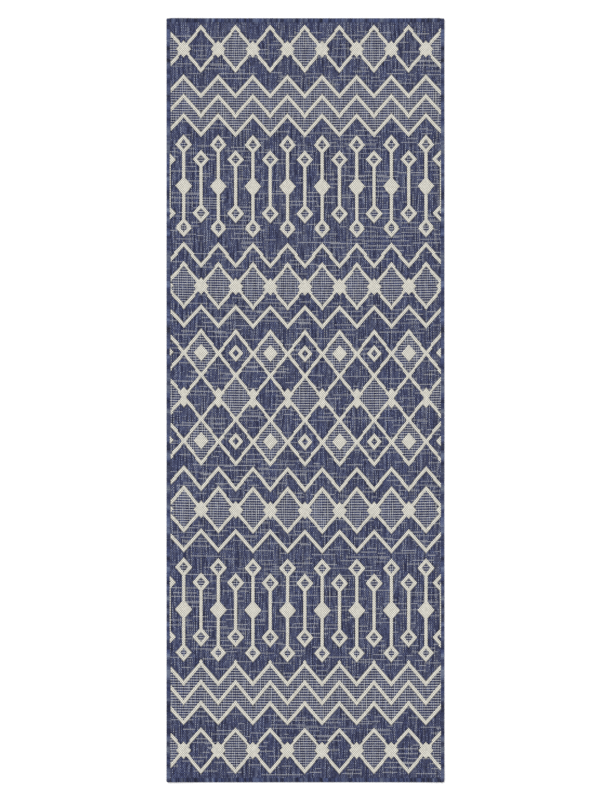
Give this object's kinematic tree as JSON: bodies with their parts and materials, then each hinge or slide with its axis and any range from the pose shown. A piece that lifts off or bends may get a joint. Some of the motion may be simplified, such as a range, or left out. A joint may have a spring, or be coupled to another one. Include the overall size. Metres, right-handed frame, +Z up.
{
  "type": "flat-woven runner rug",
  "caption": "Long narrow flat-woven floor rug with a slubby dark ground, raised pale diamond, zigzag, bar and lattice figures, and overcast edges all round.",
  "frame": {"origin": "centre of the rug's underside, on the floor", "axes": "+Z up out of the face, +Y along the length, +X across the width to the right"},
  "size_m": [0.8, 2.2, 0.005],
  "materials": {
    "ground_yarn": "matt flat weave of navy and denim slub yarn with light weft slubs",
    "figure_yarn": "matt off-white ribbed figure yarn with small beige binding dots",
    "edge_yarn": "space-dyed navy overcasting yarn, slightly lustrous"
  },
  "bodies": {
    "root": {"chain_bottom_end": "figure_yarn", "chain_bottom_middle": "figure_yarn", "chain_top_end": "figure_yarn", "chain_top_middle": "figure_yarn", "ground_cloth": "ground_yarn", "lattice": "figure_yarn", "lattice_diamond_bottom_1": "figure_yarn", "lattice_diamond_bottom_2": "figure_yarn", "lattice_diamond_bottom_3": "figure_yarn", "lattice_diamond_bottom_4": "figure_yarn", "lattice_diamond_top_1": "figure_yarn", "lattice_diamond_top_2": "figure_yarn", "lattice_diamond_top_3": "figure_yarn", "lattice_diamond_top_4": "figure_yarn", "overcast_bottom": "edge_yarn", "overcast_left": "edge_yarn", "overcast_right": "edge_yarn", "overcast_top": "edge_yarn", "short_bar_bottom_1": "figure_yarn", "short_bar_bottom_2": "figure_yarn", "short_bar_bottom_3": "figure_yarn", "short_bar_bottom_4": "figure_yarn", "short_bar_bottom_5": "figure_yarn", "short_bar_bottom_6": "figure_yarn", "short_bar_bottom_7": "figure_yarn", "short_bar_top_1": "figure_yarn", "short_bar_top_2": "figure_yarn", "short_bar_top_3": "figure_yarn", "short_bar_top_4": "figure_yarn", "short_bar_top_5": "figure_yarn", "short_bar_top_6": "figure_yarn", "short_bar_top_7": "figure_yarn", "tall_bar_bottom_1": "figure_yarn", "tall_bar_bottom_2": "figure_yarn", "tall_bar_bottom_3": "figure_yarn", "tall_bar_bottom_4": "figure_yarn", "tall_bar_bottom_5": "figure_yarn", "tall_bar_bottom_6": "figure_yarn", "tall_bar_bottom_7": "figure_yarn", "tall_bar_bottom_8": "figure_yarn", "tall_bar_top_1": "figure_yarn", "tall_bar_top_2": "figure_yarn", "tall_bar_top_3": "figure_yarn", "tall_bar_top_4": "figure_yarn", "tall_bar_top_5": "figure_yarn", "tall_bar_top_6": "figure_yarn", "tall_bar_top_7": "figure_yarn", "tall_bar_top_8": "figure_yarn", "zigzag_bottom_inner": "figure_yarn", "zigzag_bottom_outer": "figure_yarn", "zigzag_bottom_triple_1": "figure_yarn", "zigzag_bottom_triple_2": "figure_yarn", "zigzag_bottom_triple_3": "figure_yarn", "zigzag_top_inner": "figure_yarn", "zigzag_top_outer": "figure_yarn", "zigzag_top_triple_1": "figure_yarn", "zigzag_top_triple_2": "figure_yarn", "zigzag_top_triple_3": "figure_yarn"}
  },
  "joints": []
}
